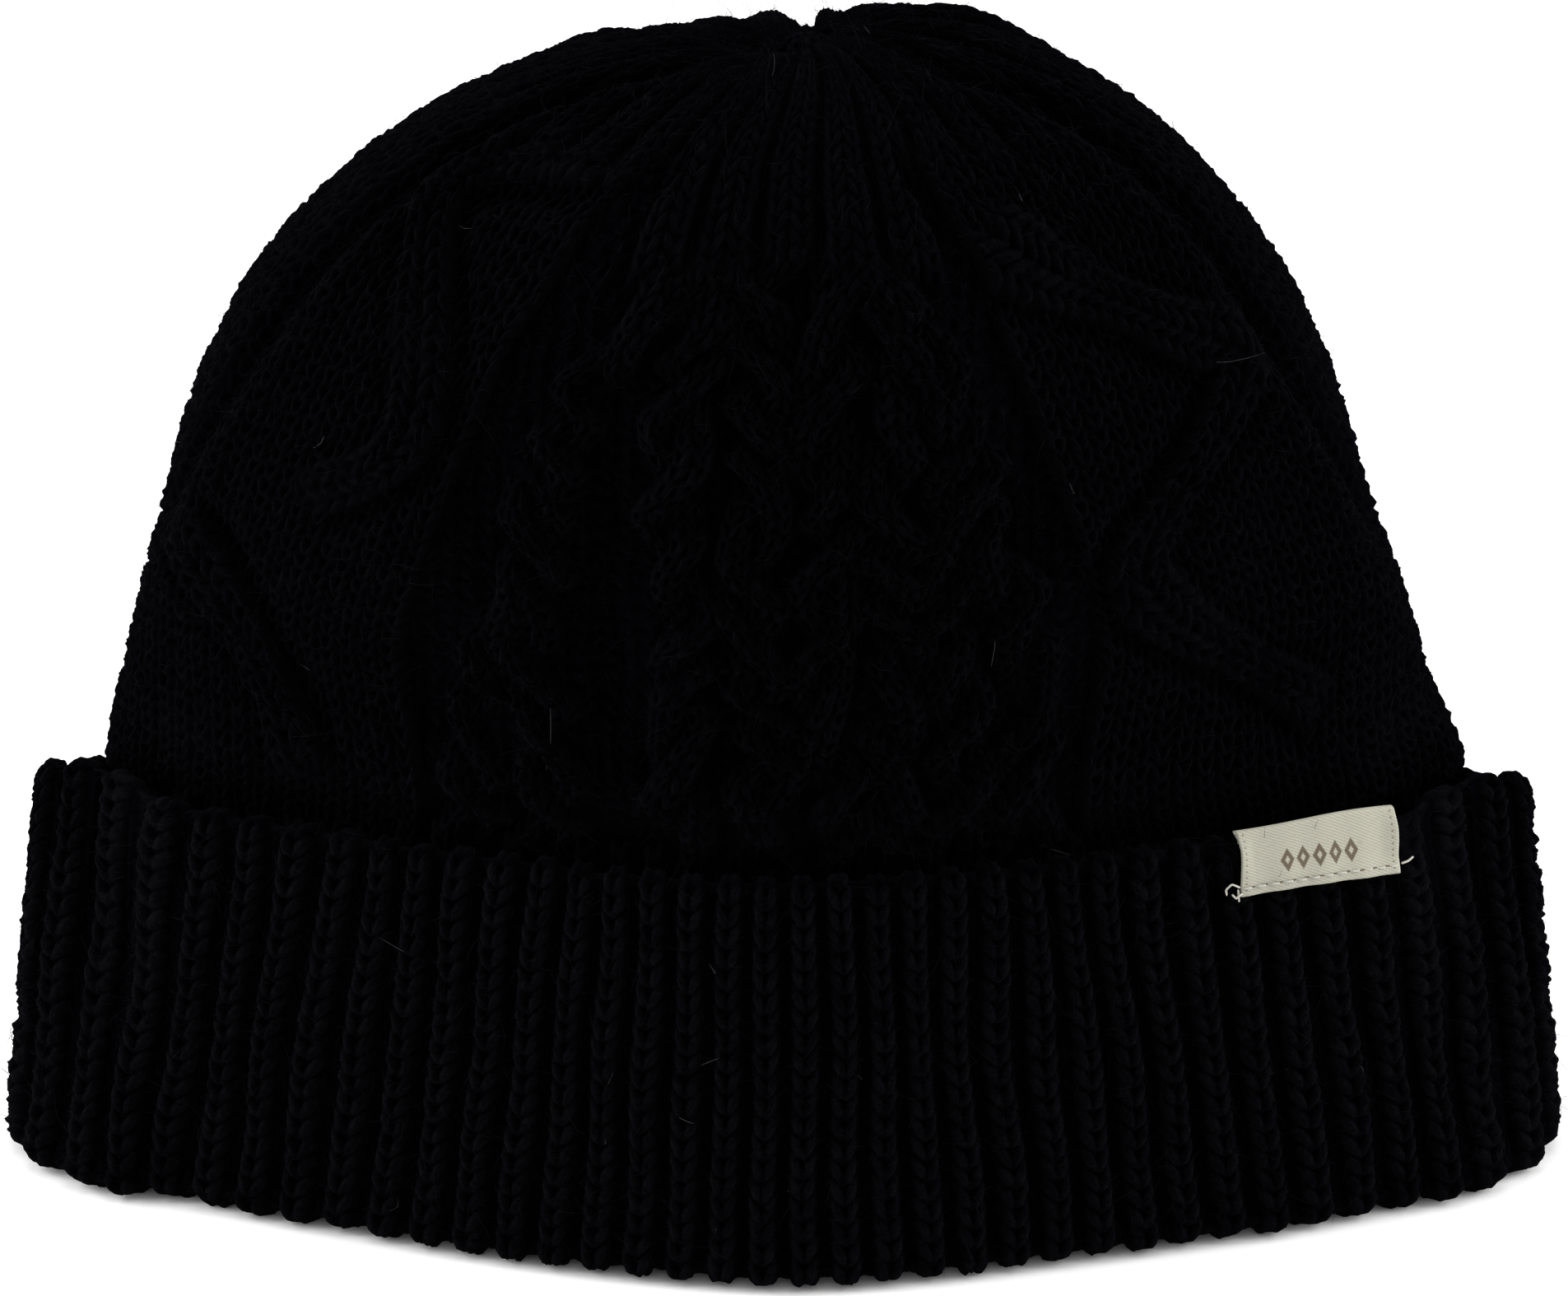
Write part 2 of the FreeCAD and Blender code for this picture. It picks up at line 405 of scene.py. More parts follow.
# ---------------------------------------------------------------- materials
class Nodes:
    """A material's node tree, with short names for what the materials here use."""

    def __init__(self, name):
        self.material = bpy.data.materials.new(name)
        self.material.use_nodes = True
        self.tree = self.material.node_tree
        self.shader = self.tree.nodes["Principled BSDF"]

    def add(self, kind, **inputs):
        node = self.tree.nodes.new(kind)
        for key, value in inputs.items():
            socket = node.inputs[key.replace("_", " ")]
            self.feed(socket, value)
        return node

    def feed(self, socket, value):
        if isinstance(value, bpy.types.NodeSocket):
            self.tree.links.new(value, socket)
        else:
            socket.default_value = value

    def attribute(self, name):
        node = self.add("ShaderNodeAttribute")
        node.attribute_name = name
        return node

    def object_place(self):
        return self.add("ShaderNodeTexCoord").outputs["Object"]

    def maths(self, operation, first, second=0.0):
        node = self.tree.nodes.new("ShaderNodeMath")
        node.operation = operation
        self.feed(node.inputs[0], first)
        self.feed(node.inputs[1], second)
        return node.outputs[0]

    def colour_ramp(self, factor, low, high, start=0.0, end=1.0):
        node = self.tree.nodes.new("ShaderNodeValToRGB")
        self.feed(node.inputs[0], factor)
        node.color_ramp.elements[0].position = start
        node.color_ramp.elements[0].color = (*low, 1)
        node.color_ramp.elements[1].position = end
        node.color_ramp.elements[1].color = (*high, 1)
        return node.outputs[0]

    def set(self, **inputs):
        for key, value in inputs.items():
            self.feed(self.shader.inputs[key.replace("_", " ")], value)


def wool(name, dark, light, bump_distance=0.0005):
    """Woollen yarn: fibres run along each stitch leg, painted shade makes the hollows darker and the surface
    is soft.
    """
    nodes = Nodes(name)
    lines = nodes.attribute("yarn")
    crest = nodes.attribute("crest")
    stretch = nodes.add("ShaderNodeMapping", Vector=lines.outputs["Vector"], Scale=(1.6, 9.0, 40.0))
    fibres = nodes.add("ShaderNodeTexNoise", Vector=stretch.outputs[0], Scale=1.6, Detail=4.0,
                       Roughness=0.75)
    place = nodes.object_place()
    patches = nodes.add("ShaderNodeTexNoise", Vector=place, Scale=420.0, Detail=4.0)
    hairs = nodes.add("ShaderNodeTexNoise", Vector=place, Scale=2200.0, Detail=3.0,
                      Distortion=1.2)
    worn = nodes.maths("MULTIPLY", fibres.outputs["Fac"], patches.outputs["Fac"])
    fleck = nodes.maths("MULTIPLY", hairs.outputs["Fac"], 1.9)
    # Painted shade: the crest attribute darkens the colour towards the hollows between stitches.
    mixed = nodes.maths("MULTIPLY", nodes.maths("MULTIPLY", worn, fleck), crest.outputs["Fac"])
    colour = nodes.colour_ramp(mixed, dark, light, 0.05, 0.34)
    relief = nodes.maths("MULTIPLY_ADD", fibres.outputs["Fac"], 0.8)
    nodes.feed(relief.node.inputs[2], hairs.outputs["Fac"])
    bump = nodes.add("ShaderNodeBump", Strength=1.0, Distance=bump_distance, Height=relief)
    nodes.set(Base_Color=colour, Roughness=0.95, Normal=bump.outputs[0], Specular_IOR_Level=0.006,
              Sheen_Weight=0.009, Sheen_Roughness=0.28, Sheen_Tint=(0.56, 0.53, 0.70, 1.0))
    return nodes.material


def plain_fibre(name, colour, sheen=0.05):
    nodes = Nodes(name)
    nodes.set(Base_Color=(*colour, 1), Roughness=0.8, Specular_IOR_Level=0.02, Sheen_Weight=sheen,
              Sheen_Roughness=0.5, Sheen_Tint=(0.5, 0.5, 0.66, 1.0))
    return nodes.material


def twisted_yarn(name, dark, light, gloss, scale=1400.0, relief=0.0002):
    """Plied yarn or thread, with fibres wound about it."""
    nodes = Nodes(name)
    place = nodes.object_place()
    fibres = nodes.add("ShaderNodeTexNoise", Vector=place, Scale=scale, Detail=3.0,
                       Distortion=1.5)
    colour = nodes.colour_ramp(fibres.outputs["Fac"], dark, light, 0.30, 0.70)
    bump = nodes.add("ShaderNodeBump", Strength=0.6, Distance=relief, Height=fibres.outputs["Fac"])
    nodes.set(Base_Color=colour, Roughness=0.85, Normal=bump.outputs[0], Specular_IOR_Level=gloss)
    return nodes.material


def woven_cloth(name, dark, light, twill, pattern=None):
    """Fine woven tape with diagonal twill, in millimetres across and along; pattern adds darker marks."""
    nodes = Nodes(name)
    cloth = nodes.attribute("cloth")
    split = nodes.add("ShaderNodeSeparateXYZ", Vector=cloth.outputs["Vector"])
    across, along = split.outputs[0], split.outputs[1]
    slant = nodes.maths("ADD", nodes.maths("MULTIPLY", across, 0.45), along)
    ridge = nodes.maths("SINE", nodes.maths("MULTIPLY", slant, TURN / twill))
    warp = nodes.maths("SINE", nodes.maths("MULTIPLY", across, TURN / (0.6 * twill)))
    weave = nodes.maths("ADD", nodes.maths("MULTIPLY", ridge, 0.36), nodes.maths("MULTIPLY", warp, 0.14))
    weave = nodes.maths("ADD", weave, 0.5)
    fibres = nodes.add("ShaderNodeTexNoise", Vector=cloth.outputs["Vector"], Scale=2.6, Detail=4.0,
                       Roughness=0.7)
    tone = nodes.maths("ADD", nodes.maths("MULTIPLY", weave, 0.55),
                       nodes.maths("MULTIPLY", fibres.outputs["Fac"], 0.5))
    colour = nodes.colour_ramp(tone, dark, light, 0.10, 0.85)
    if pattern:
        mark, ink = pattern(nodes, across, along)
        mix = nodes.add("ShaderNodeMix")
        mix.data_type = "RGBA"
        nodes.feed(mix.inputs[0], mark)
        nodes.feed(mix.inputs[6], colour)
        mix.inputs[7].default_value = (*ink, 1)
        colour = mix.outputs[2]
    bump = nodes.add("ShaderNodeBump", Strength=0.5, Distance=0.00008, Height=tone)
    nodes.set(Base_Color=colour, Roughness=0.72, Normal=bump.outputs[0], Specular_IOR_Level=0.3,
              Sheen_Weight=0.15, Sheen_Roughness=0.4)
    return nodes.material


def inside_band(nodes, value, half_width, softness):
    """1 where a value is within a half width of 0, fading over a softness."""
    away = nodes.maths("SUBTRACT", nodes.maths("ABSOLUTE", value), half_width)
    shade = nodes.maths("DIVIDE", away, -softness)
    limited = nodes.maths("ADD", shade, 0.5)
    limited.node.use_clamp = True
    return limited


def off_whole(nodes, value):
    """How far a value is from the nearest whole number."""
    return nodes.maths("SUBTRACT", value, nodes.maths("ROUND", value))


def label_marks(nodes, across, along):
    """A row of plain diamonds, the needle gaps of the hem stitches, and the selvedge dots."""
    near = off_whole(nodes, nodes.maths("DIVIDE", across, 2.45))
    rise = nodes.maths("SUBTRACT", along, 4.0)
    reach = nodes.maths("ADD", nodes.maths("DIVIDE", nodes.maths("ABSOLUTE", near), 0.43),
                        nodes.maths("DIVIDE", nodes.maths("ABSOLUTE", rise), 1.65))
    diamond = inside_band(nodes, reach, 1.0, 0.16)
    hollow = inside_band(nodes, reach, 0.36, 0.16)
    in_row = inside_band(nodes, across, 6.1, 0.05)
    motif = nodes.maths("MULTIPLY", nodes.maths("SUBTRACT", diamond, hollow), in_row)

    gap = off_whole(nodes, nodes.maths("DIVIDE", across, LABEL_STITCH_PITCH))
    level = nodes.maths("SUBTRACT", along, LABEL_STITCH_HEIGHT)
    level = inside_band(nodes, level, 0.12, 0.06)
    dash = nodes.maths("MULTIPLY", inside_band(nodes, gap, 0.18, 0.05), level)
    dash = nodes.maths("MULTIPLY", dash, inside_band(nodes, across, 11.6, 0.05))

    spot = inside_band(nodes, off_whole(nodes, nodes.maths("DIVIDE", along, 0.85)), 0.16, 0.10)
    side = nodes.maths("SUBTRACT", nodes.maths("ABSOLUTE", across), LABEL_WIDTH / 2 - 0.75)
    dots = nodes.maths("MULTIPLY", nodes.maths("MULTIPLY", spot, inside_band(nodes, side, 0.12, 0.08)), 0.7)
    total = nodes.maths("MAXIMUM", motif, nodes.maths("MAXIMUM", dash, dots))
    return total, (0.080, 0.062, 0.038)


def floor_material():
    nodes = Nodes("pale_floor")
    place = nodes.object_place()
    grain = nodes.add("ShaderNodeTexNoise", Vector=place, Scale=3.0, Detail=2.0)
    colour = nodes.colour_ramp(grain.outputs["Fac"], (0.84, 0.84, 0.84), (0.88, 0.88, 0.88))
    nodes.set(Base_Color=colour, Roughness=0.9)
    return nodes.material


RIB_WOOL = wool("rib_wool", (0.00008, 0.00008, 0.00045), (0.0029, 0.0029, 0.0036))
# Painted shade: the crown's copy of the same wool is darker than the cuff's, for the shade the crown lies
# in.
SHADED_CABLE_WOOL = wool("shaded_cable_wool", (0.00006, 0.00006, 0.00042), (0.0016, 0.0016, 0.0022))
SEAM_WOOL = twisted_yarn("seam_wool", (0.0002, 0.0002, 0.0005), (0.0014, 0.0014, 0.0022), 0.005)
FUZZ = plain_fibre("wool_fuzz", (0.0035, 0.0035, 0.0046), 0.006)
PALE_FUZZ = plain_fibre("pale_fuzz", (0.050, 0.050, 0.054))
LABEL_CLOTH = woven_cloth("label_cloth", (0.210, 0.201, 0.157), (0.345, 0.335, 0.273), 0.42, label_marks)
LABEL_THREAD = twisted_yarn("label_thread", (0.30, 0.29, 0.25), (0.46, 0.45, 0.40), 0.1, 4000.0, 0.00005)
CARE_CLOTH = woven_cloth("care_satin", (0.62, 0.62, 0.60), (0.78, 0.78, 0.76), 0.40)


# ---------------------------------------------------------------- the cuff
def around_grid(length, step):
    columns = int(round(length / step * DETAIL / 4)) * 4
    return np.arange(columns) / columns * 2 - 1 + 1 / columns


def arc_steps(count, start, end):
    return np.radians(np.linspace(start, end, max(3, int(count * DETAIL))))


def cuff_profile():
    """Insets and heights round the cuff's section: up outside, over the top edge, down inside and under."""
    base = RIB_SINK
    edge = CUFF_THICKNESS / 2 - base
    fold = 2.2
    lip = 13.0
    outer = np.arange(base + fold, CUFF_HEIGHT - base - edge, 0.32 / DETAIL)
    top = arc_steps(8, 180, 0)
    inner = np.arange(CUFF_HEIGHT - base - edge, 5.2, -0.9 / DETAIL)
    ledge = np.linspace(2 * edge + base + 1.0, lip - 0.6, 8)
    throat = arc_steps(6, 0, -90)
    under = np.linspace(lip - fold, base + fold, max(8, int(14 * DETAIL)))
    corner = arc_steps(8, -90, -180)
    inset = np.concatenate([
        np.full(len(outer), base), base + edge + edge * np.cos(top), np.full(len(inner), base + 2 * edge),
        ledge, lip - fold + fold * np.cos(throat), under, base + fold + fold * np.cos(corner)])
    height = np.concatenate([
        outer, CUFF_HEIGHT - base - edge + edge * np.sin(top), inner, np.full(len(ledge), 4.9),
        base + fold + fold * np.sin(throat), np.full(len(under), base), base + fold + fold * np.sin(corner)])
    parts = [len(outer), len(top), len(inner), len(ledge)]
    return inset, height, np.cumsum(parts)


def make_cuff():
    inset, height, ends = cuff_profile()
    around = around_grid(CUFF_GIRTH, 0.33)
    inset = inset[:, None]
    height = height[:, None]
    ovals = cuff_oval(height, inset, around[None, :])
    swell = 0.35 * waves(around[None, :], height, 11, lowest=2, highest=9)
    base = points_at(ovals.x, ovals.y, height)
    step = np.linalg.norm(np.diff(np.concatenate([inset, height], axis=1), axis=0), axis=1)
    path = np.concatenate([[0], np.cumsum(step)])[:, None]
    wander = 0.07 * waves(around[None, :], height, 12, lowest=6, highest=24, reach=30)
    phase = rib_phase(around[None, :], 0.13 + 0.11 * height / CUFF_HEIGHT)
    phase = phase + wander * smooth(0, 20, height)
    course = path / RIB_COURSE + 0.25 * scatter(np.floor(phase), 0 * phase, 5)
    edge = np.maximum(bell(height - CUFF_HEIGHT, 2.2), smooth(3.2, 1.2, height))
    relief = rib(phase, course, RIB_DEPTH, 0.7 * edge) - RIB_SINK
    relief = relief - 0.55 * bell(height - CUFF_HEIGHT, 2.2) * (relief > -0.4)
    valley = 0.95 * smooth(7.0, 1.5, height) + 1.3 * bell(height - CUFF_HEIGHT, 2.4) - RIB_SINK
    relief = np.maximum(relief, valley)
    relief = relief + grain(relief.shape, 13, 0.11)
    inside = np.arange(len(inset))[:, None] >= ends[1]
    swapped = rib(phase + 0.5, course, INNER_RIB_DEPTH) - INNER_RIB_DEPTH / 2
    deep = (np.arange(len(inset)) >= ends[2]) & (np.arange(len(inset)) < ends[3])
    relief = np.where(inside & (height > 5.0), swapped, relief)
    relief = np.where(deep[:, None], 0.0, relief)
    crest = np.cos(TURN * (fraction(phase) - 0.5))
    scallop = bell(height - CUFF_HEIGHT, 3.0) * (0.30 * crest - 0.3)
    pressed = smooth(14.5, 12.0, np.abs(ovals.x - LABEL_MIDDLE)) * (ovals.y < 0) * smooth(49, 56, height)
    base[..., 2] += scallop - 1.3 * pressed * bell(height - CUFF_HEIGHT, 3.0)
    relief = np.where(inside, relief * (1 - 0.8 * pressed) - 1.25 * pressed,
                      relief * (1 - 0.85 * pressed) + 0.05 * pressed)
    lines = rib_lines(phase, course)
    base[..., 1] += np.where(base[..., 1] < 0, -1, 1) * swell * smooth(3, 30, height)
    base = shape_cuff(base)
    piece, points = fabric("knit_cuff", base, relief, lines, RIB_WOOL)
    return piece, points, ends


# ---------------------------------------------------------------- the crown
def crown_rows(step):
    """Crown heights, as shares, at about even steps along the cloth, with the front meridian's length."""
    share = np.sin(np.linspace(0, 1, 4000) * math.asin(CROWN_END))
    width, depth = crown_section(share)
    rise = np.diff(CROWN_RISE * share)
    front = np.concatenate([[0], np.cumsum(np.hypot(rise, np.diff(depth)))])
    side = np.concatenate([[0], np.cumsum(np.hypot(rise, np.diff(width)))])
    mean = (front + side) / 2
    even = np.linspace(-CROWN_TUCK, mean[-1], int(mean[-1] / step * DETAIL))
    below = np.minimum(even, 0)
    return np.interp(even, mean, share) + below / CROWN_RISE, np.interp(even, mean, front) + below


def crown_base(share, inset, around):
    """Bare crown surface, with the slouch of soft fabric: it leans a little and dips at the gather."""
    ovals = crown_oval(share, inset, around)
    lift = CROWN_BASE + CROWN_RISE * share - inset * smooth(0.80, 1.0, share)
    height = lift - CROWN_BASE
    x = ovals.x - 2.3 * np.sin(math.pi * np.clip((height + 9) / 100, 0, 1)) + 3.0 * smooth(90, 104, height)
    right_side = smooth(20, 90, x)
    left_side = smooth(-20, -90, x)
    flare = 2.0 * bell(height - 18, 20) + 3.0 * bell(height + 1, 9) - 2.3 * bell(height - 84, 16)
    x = x + right_side * flare
    x = x - left_side * (0.7 + 1.6 * bell(height - 2, 16) - 1.5 * bell(height - 90, 13))
    y = ovals.y
    soft = smooth(0, 0.15, share) * smooth(1.0, 0.93, share)
    swell = 1.1 * waves(around, lift, 21, lowest=2, highest=8, reach=60) * soft
    rest_on_cuff = 3.0 * bell(lift - CROWN_BASE - 9, 6)
    y = y + np.where(y < 0, -1, 1) * (swell + rest_on_cuff) * smooth(0, 12, np.abs(y))
    puffed = 1.9 * smooth(80, 97, height)
    shoulders = 1.2 * (bell(x - 57, 14) + bell(x + 51, 12)) * smooth(80, 97, height)
    dip = 3.8 * bell(x + 2.5, 8) * bell(y, 9) + 0.6 * bell(x + 14, 12) * bell(y - 8, 9)
    hump = 2.7 * bell(x - 23, 11) * bell(y - 7, 10)
    z = lift + puffed - shoulders - dip + hump
    points = points_at(x, y, z)
    points = pinch(points, 76, 92, 0.42 * smooth(95, 65, points[..., 2]))
    return settle(points), ovals


def strand(offset, height, radius):
    """Rounded yarn bundle of a radius, with its middle at an offset of 0 and its top at a height."""
    return height + radius * (np.sqrt(np.clip(1 - (offset / radius) ** 2, 0, 1)) - 1)


# Lines drawn on the crown, as (distance from the middle, height): the cabled panel's two edges, and the
# bands that travel over each side.
PANEL_LEFT = [(47, 60), (42, 86), (34, 110), (26, 131), (17, 145), (9, 153), (6, 165)]
PANEL_RIGHT = [(39, 60), (39, 87), (36, 102), (28, 123), (20, 141), (11, 152), (6, 165)]
LEFT_BAND = [(-20, 153), (-36, 152), (-49, 147), (-48, 133), (-47, 117), (-57, 109), (-68, 106)]
LEFT_LOWER_BAND = [(-88, 99), (-81, 92), (-74, 84), (-68, 76), (-63, 62)]
RIGHT_BAND = [(24, 146), (33, 140), (46, 134), (59, 128), (69, 125), (63, 115), (55, 106), (49, 98),
              (56, 89), (65, 82), (79, 71)]

# Ropes of the cabled panel: (middle, millimetres from one crossing to the next, place of the first).
ROPES = [(-31.0, 9.2, 0.1), (-11.5, 10.4, 0.65), (-1.5, 9.3, 0.3), (8.0, 10.9, 0.9), (16.5, 9.6, 0.45),
         (24.5, 10.2, 0.2)]
TOP_COLUMNS = 17


def line_at(points, height):
    """Distance from the middle of a line drawn as (distance, height), at a height."""
    return np.interp(height, [point[1] for point in points], [point[0] for point in points])


def rounded_line(points):
    """Given points with their corners rounded off."""
    line = np.array(points, float)
    for _ in range(3):
        first = line[:-1] * 0.75 + line[1:] * 0.25
        second = line[:-1] * 0.25 + line[1:] * 0.75
        middle = np.stack([first, second], axis=1).reshape(-1, 2)
        line = np.concatenate([line[:1], middle, line[-1:]])
    return line


def beside_line(line, place, cloth):
    """Signed distance from a line of (place, millimetres up the cloth), and how far along it that is."""
    nearest = np.full(place.shape, 1e9)
    beside = np.zeros(place.shape)
    along = np.zeros(place.shape)
    start = 0.0
    for first, second in zip(line[:-1], line[1:]):
        length = math.hypot(*(second - first))
        direction = (second - first) / length
        over = place - first[0]
        up = cloth - first[1]
        share = np.clip(over * direction[0] + up * direction[1], 0, length)
        side = over * direction[1] - up * direction[0]
        distance = np.hypot(over - share * direction[0], up - share * direction[1])
        closer = distance < nearest
        nearest = np.where(closer, distance, nearest)
        beside = np.where(closer, np.copysign(distance, side), beside)
        along = np.where(closer, start + share, along)
        start += length
    return beside, along


def stack_up(lower, upper, inside):
    """Puts one layer of knitting, as (height, wales, courses), over another wherever it stands higher."""
    better = inside & (upper[0] > lower[0])
    return tuple(np.where(better, over, under) for over, under in zip(upper, lower))


class Places:
    """Where each point of the crown's grid lies on its cloth, in millimetres from the middle and up."""

    def __init__(self, share, meridian, ovals, around):
        self.share = share
        self.around = around
        self.height = np.broadcast_to(CROWN_BASE + CROWN_RISE * share, ovals.arc.shape)
        self.cloth = np.broadcast_to(meridian, ovals.arc.shape)
        self.front = np.abs(ovals.arc) <= ovals.half_length / 2
        turned = ovals.arc - np.sign(ovals.arc) * ovals.half_length
        self.place = np.where(self.front, ovals.arc, turned)
        self.distance = np.abs(self.place)
        self.panel_edge = self.edge_beside(self.place)
        self.gutter = np.where(self.place < 0, 7.5, 5.0) * smooth(60, 95, self.height) + 1.5
        quarter = ovals.half_length / 2
        self.groove = quarter - (3.0 + 10.0 * smooth(88, 128, self.height)) * smooth(0, 40, quarter)
        self.course = self.cloth / COURSE + 0.25 * waves(around, self.height, 23, reach=50)
        self.pitch = np.maximum(ovals.half_length / TOP_COLUMNS, 0.4)

    def edge_beside(self, place):
        """How far the panel's edge is from the middle, on the side where a place is."""
        return np.where(place < 0, line_at(PANEL_LEFT, self.height), line_at(PANEL_RIGHT, self.height))


def side_ground(at):
    """Smooth ground of the side panels, with columns that follow the cabled panel's edge."""
    past_gutter = at.distance - at.panel_edge - at.gutter
    wale = np.where(at.distance < at.groove, past_gutter, at.distance - at.groove) / WALE
    wale = wale + 0.10 * waves(at.around, at.height, 24, reach=30)
    size = 1 + 0.22 * scatter(np.floor(wale), np.floor(at.course), 4)
    return 1.25 * knit(wale, at.course) * size - 0.1, wale, at.course


def add_band(at, layer, points):
    """Lays a band over the ground, raised and two stitches wide, with a hollow along each side."""
    levels = [(point[0], np.interp(point[1], at.height[:, 0], at.cloth[:, 0])) for point in points]
    beside, along = beside_line(rounded_line(levels), at.place, at.cloth)
    spread = 4.2 + 0.8 * np.sin(along / 6.1)
    taper = smooth(0, 7, along) * smooth(0, 9, along.max() - along)
    lift = (2.0 + 0.5 * np.sin(along / 4.3)) * taper + 0.2 * (1 - taper)
    wale = beside / spread + 40
    course = along / 2.6
    texture = knit(wale, course) * (1 + 0.2 * scatter(np.floor(wale), np.floor(course), 6))
    band = lift - 0.5 - 1.5 * np.abs(beside / spread) ** 5 + 1.35 * (texture - 0.6)
    outward = beside * np.sign(at.place)
    ground = layer[0] - 1.3 * taper * bell(outward - spread - 1.2, 1.9)
    ground = ground - 0.6 * taper * bell(outward + spread + 1.0, 1.2)
    return stack_up((ground, *layer[1:]), (band, wale, course), np.abs(beside) < spread)


def cabled_panel(at):
    """Ropes of two strands on a sunk purl ground; the outer two follow the panel's edges."""
    wale = at.place / WALE + 0.18 * waves(at.around, at.height, 28, 9, 10, 40, 18)
    course = at.course + 0.35 * scatter(np.floor(wale), np.floor(at.course / 3), 8)
    uneven = 0.45 * waves(at.around, at.height, 27, 9, 5, 20, 25)
    layer = (0.75 * purl(wale, course) + uneven - 1.45, wale, course)
    left_rope = (4.5 - line_at(PANEL_LEFT, at.height), 10.0, 0.4)
    right_rope = (line_at(PANEL_RIGHT, at.height) - 4.5, 11.2, 0.0)
    for index, (middle, crossing, first) in enumerate(ROPES + [left_rope, right_rope]):
        wander = 1.3 * np.sin(at.cloth / 6.3 + 2.3 * index) + 0.6 * np.sin(at.cloth / 2.9 + index)
        middle = middle * (1 - 0.30 * smooth(125, 160, at.height)) + wander
        fade = 2.4 * smooth(4.5, 2.0, at.edge_beside(middle) - np.abs(middle))
        warp = 0.5 * np.sin(at.cloth / 7.0 + 1.7 * index) + 0.3 * np.sin(at.cloth / 3.1 + 2.9 * index)
        angle = (math.pi * (at.cloth / crossing + first) + warp) * (1 if index % 2 else -1)
        for half in (0, 1):
            turn = angle + half * math.pi
            offset = at.place - middle - ROPE_SWING * np.sin(turn) - 0.5 * np.sin(2.3 * turn + index)
            radius = ROPE_RADIUS + 0.35 * np.sin(at.cloth / 3.7 + 5 * index + half)
            rope_wale = offset / radius + 3 * index + 20 * half + 100
            rope_course = at.cloth / 2.2 + 0.5 * half
            size = 1 + 0.25 * scatter(np.floor(rope_wale), np.floor(rope_course), 7)
            rope = strand(offset, 1.05 + 0.85 * np.cos(turn) - fade, radius)
            rope = rope + 1.4 * (knit(rope_wale, rope_course) * size - 0.6)
            inside = (np.abs(offset) < radius) & (at.distance < at.panel_edge + 1.5)
            layer = stack_up(layer, (rope, rope_wale, rope_course), inside)
    return layer


def gathered_columns(at):
    """Columns of stitches that draw together towards the top, and 1 where they have taken over."""
    phase = TOP_COLUMNS * at.around + 0.38
    across = fraction(phase) - 0.5
    wale = across / 0.42 + np.floor(phase) * 4
    ridge = np.sqrt(np.clip(1 - np.abs(across / 0.41) ** 2.5, 0, 1))
    ridge = 3.1 * ridge * (0.55 + 0.45 * knit(wale, at.course)) - 1.4
    start = np.where(at.distance < at.panel_edge + 3, 138.0, 149.0) + 2.0 * waves(at.around, at.height, 25)
    return np.clip(at.pitch / 8.5, 0.12, 1.0) * ridge, wale, smooth(start, start + 7, at.height)


def sunk_lines(at):
    """Depth of the lines along the decreases at the sides, inside the panel, and up the back's seam."""
    beyond = at.distance - at.groove
    groove = (bell(beyond, 2.8) - 0.3 * bell(beyond + 5.5, 2.6)) * smooth(88, 104, at.height)
    groove = groove * smooth(1.0, 0.93, at.share)
    gutter = bell(at.place + 20.5, 3.0) * smooth(76, 84, at.height) * smooth(140, 130, at.height)
    seam = bell(at.place, 0.9) * np.where(at.front, 0.0, 1.0)
    return GROOVE_DEPTH * groove + 0.8 * gutter + 1.2 * seam


def puckers(at):
    """Small folds that run into the gathered top."""
    pull = smooth(0.93, 0.995, at.share) * smooth(1.0, 0.990, at.share)
    return 0.9 * pull * np.cos(math.pi * at.around * 17 + 0.9 * np.sin(math.pi * at.around * 3))


def crown_stitches(at):
    """Height of the crown's knitting above its base, and its yarn directions."""
    layer = side_ground(at)
    for points in (LEFT_BAND, LEFT_LOWER_BAND, RIGHT_BAND):
        layer = add_band(at, layer, points)
    in_panel = at.distance < at.panel_edge + at.gutter
    panel = cabled_panel(at)
    surface, wale, course = (np.where(in_panel, inner, outer) for inner, outer in zip(panel, layer))
    columns, top_wale, top = gathered_columns(at)
    surface = surface * (1 - top) + columns * top
    wale = np.where(top > 0.5, top_wale, wale)
    surface = surface - sunk_lines(at) + puckers(at)
    return surface + grain(surface.shape, 26, 0.085), yarn_lines(wale, course)


def make_crown():
    share, meridian = crown_rows(0.37)
    inner_share, inner_meridian = crown_rows(1.1)
    around = around_grid(CROWN_GIRTH, 0.37)[None, :]
    lip = 1.2 * bell(CROWN_RISE * share + CROWN_TUCK, 0.8)
    outer, ovals = crown_base(share[:, None], 1.25 + lip[:, None], around)
    relief, lines = crown_stitches(Places(share[:, None], meridian[:, None], ovals, around))
    inner_share = inner_share[::-1]
    inner, inner_ovals = crown_base(inner_share[:, None], KNIT_THICKNESS + 0.6, around)
    inner_wale = inner_ovals.arc / WALE
    inner_course = np.broadcast_to(inner_meridian[::-1][:, None] / COURSE, inner_wale.shape)
    inner_relief = 0.5 * purl(inner_wale, inner_course) - 0.2
    relief = relief * smooth(0.0, 1.5, CROWN_RISE * share + CROWN_TUCK)[:, None]
    base = np.concatenate([outer, inner])
    height = np.concatenate([relief - 0.3, inner_relief])
    lines = np.concatenate([lines, yarn_lines(inner_wale, inner_course)])
    piece, points = fabric("cable_knit_crown", base, height, lines, SHADED_CABLE_WOOL)
    return piece, points, len(share)


# ---------------------------------------------------------------- the inner band
def band_section(share, inset):
    """Half width and half depth of the inner band at a share of its height."""
    width = BAND_WIDTH + (CROWN_WIDTH - BAND_WIDTH) * share - inset
    depth = BAND_DEPTH + (CROWN_BASE_DEPTH - BAND_DEPTH) * share - inset
    return width, depth


